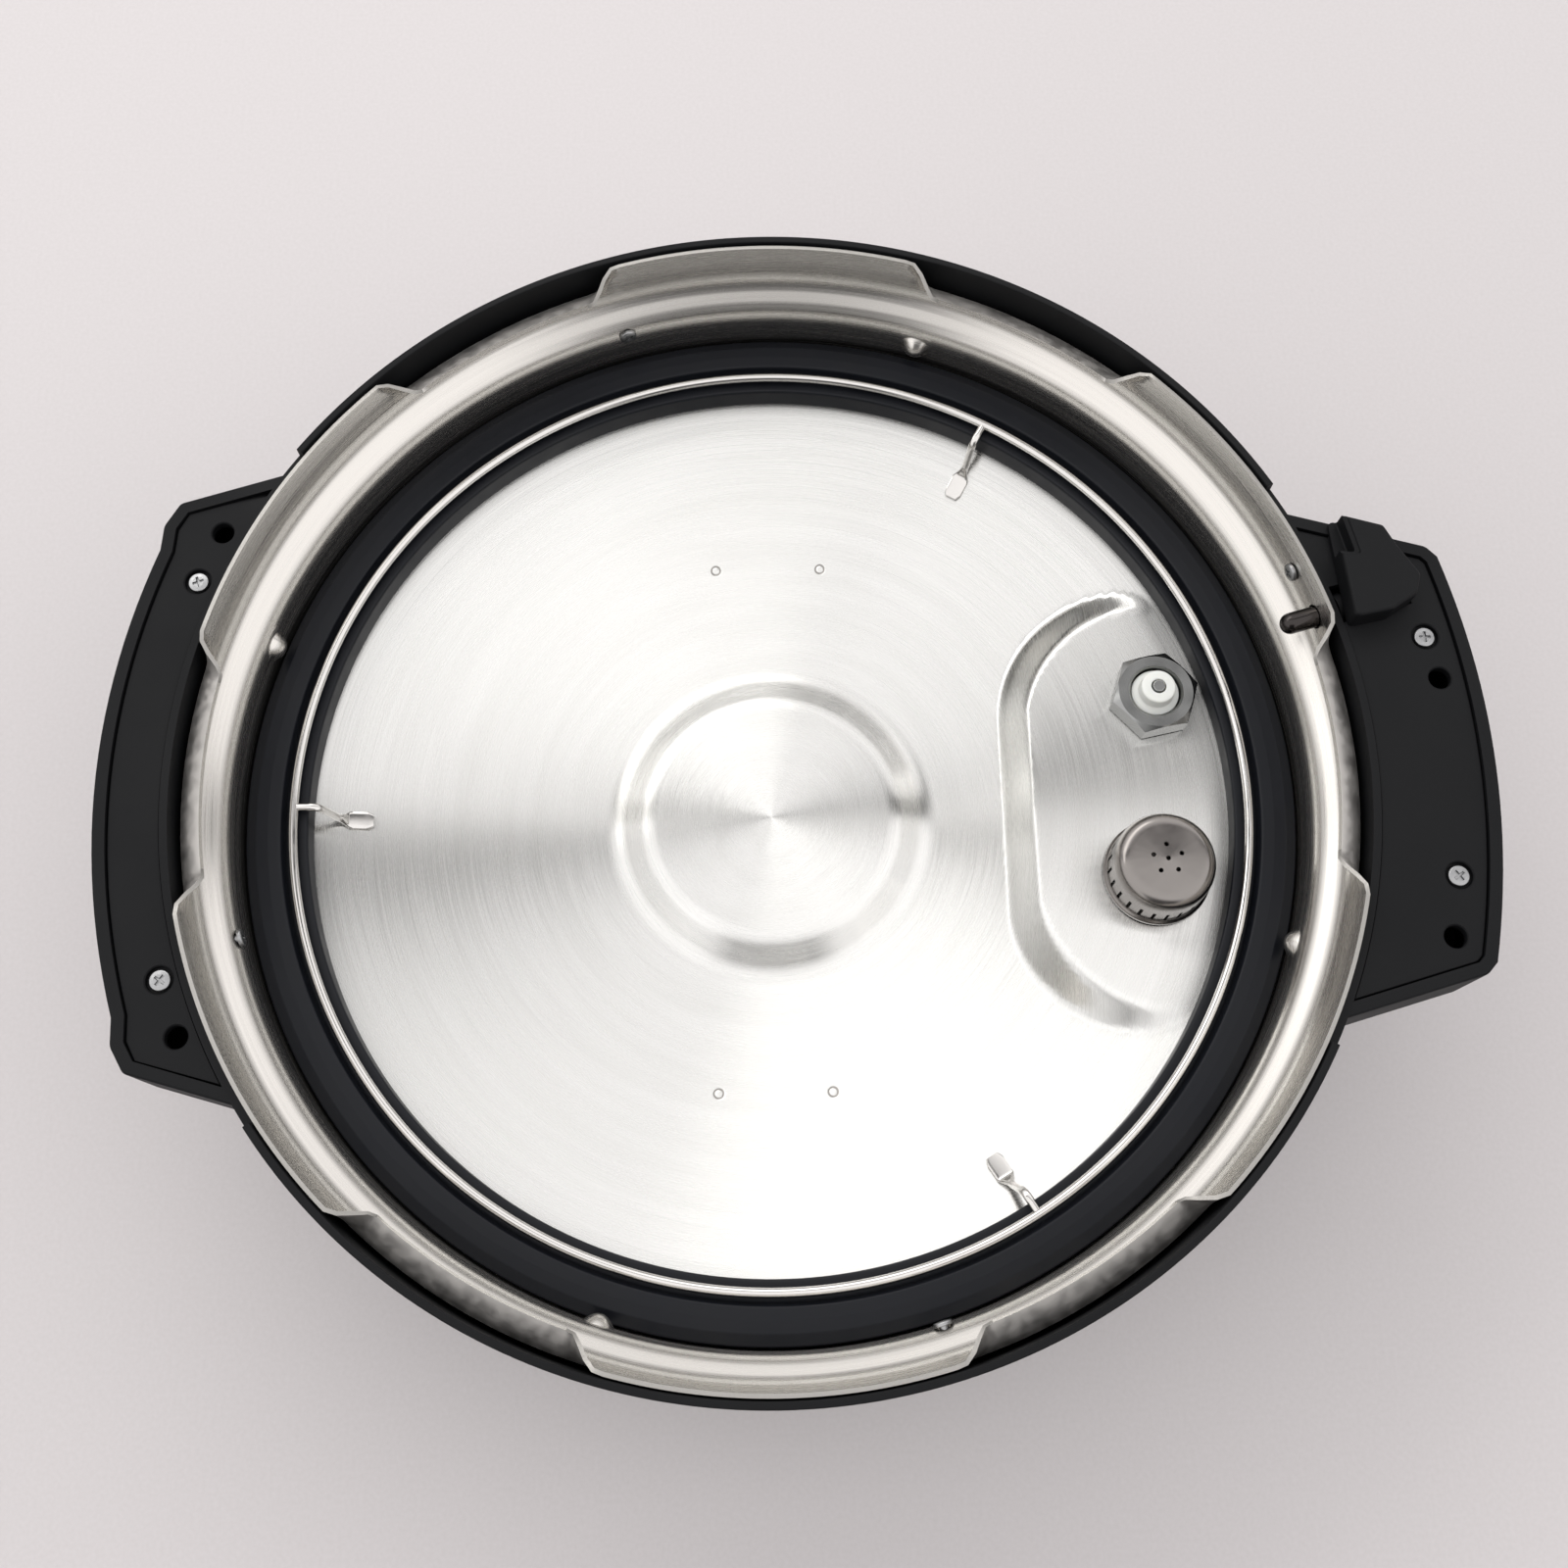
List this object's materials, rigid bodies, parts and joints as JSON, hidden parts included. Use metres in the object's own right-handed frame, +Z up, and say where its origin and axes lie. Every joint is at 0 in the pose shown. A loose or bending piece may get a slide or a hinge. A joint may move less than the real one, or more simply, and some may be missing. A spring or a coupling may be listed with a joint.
{
  "type": "pressure cooker lid",
  "caption": "Pressed steel pressure-cooker lid in a black plastic cover with side wings, gasket on a wire rack, float valve, strainer-capped steam release, spring pin and bridge handle",
  "frame": {"origin": "on the lid's axis, in the flat crown of the handle that the upturned lid lies on", "axes": "+Z up, out of the lid's bowl; +X along the wings, towards the two valves; +Y along the handle"},
  "size_m": [0.3361, 0.2926, 0.1074],
  "materials": {
    "brushed_steel": "stainless steel sheet, brushed in circles",
    "polished_steel": "polished stainless steel",
    "zinc_steel": "zinc-plated steel",
    "black_plastic": "black moulded plastic, fine matt texture",
    "black_silicone": "black silicone rubber, satin",
    "clear_silicone": "translucent white silicone"
  },
  "bodies": {
    "lid": {"inner_lid": "brushed_steel", "sealing_ring": "black_silicone", "rack_ring": "polished_steel", "rack_leg_1": "polished_steel", "rack_leg_2": "polished_steel", "rack_leg_3": "polished_steel", "float_nut": "polished_steel", "float_body": "polished_steel", "float_washer": "clear_silicone", "steam_pipe": "polished_steel", "steam_nut": "polished_steel", "steam_washer": "clear_silicone", "anti_block_cap": "polished_steel", "top_cover": "black_plastic", "left_wing_plate": "black_plastic", "right_wing_plate": "black_plastic", "latch_block": "black_plastic", "pin_spring": "polished_steel", "handle_grip": "black_plastic", "handle_liner": "black_plastic", "handle_bracket_front": "brushed_steel", "handle_bracket_rear": "brushed_steel", "wing_screw_1": "zinc_steel", "wing_screw_2": "zinc_steel", "wing_screw_3": "zinc_steel", "wing_screw_4": "zinc_steel", "skirt_screw_1": "zinc_steel", "skirt_screw_2": "zinc_steel", "skirt_screw_3": "zinc_steel", "skirt_screw_4": "zinc_steel", "handle_screw_front": "zinc_steel", "handle_screw_rear": "zinc_steel"},
    "float": {"float_pin": "polished_steel", "float_cap": "clear_silicone"},
    "release_knob": {"steam_knob": "black_plastic", "pressure_weight": "zinc_steel"},
    "latch_pin": {"lock_pin": "polished_steel", "pin_collar": "black_plastic"}
  },
  "joints": [
    {"name": "float_slide", "type": "slide", "parent": "lid", "child": "float", "axis": [0, 0, 1], "range_m": [0, 0.006]},
    {"name": "release_knob_turn", "type": "hinge", "parent": "lid", "child": "release_knob", "pos_m": [0.0987, -0.0195, 0.024], "axis": [0, 0, 1], "range_deg": [-40, 40]},
    {"name": "latch_pin_slide", "type": "slide", "parent": "lid", "child": "latch_pin", "axis": [0.9636, 0.2672, 0], "range_m": [0, 0.005], "stiffness_N_per_m": 400, "springref_m": -0.003, "deforming": ["pin_spring"]}
  ]
}
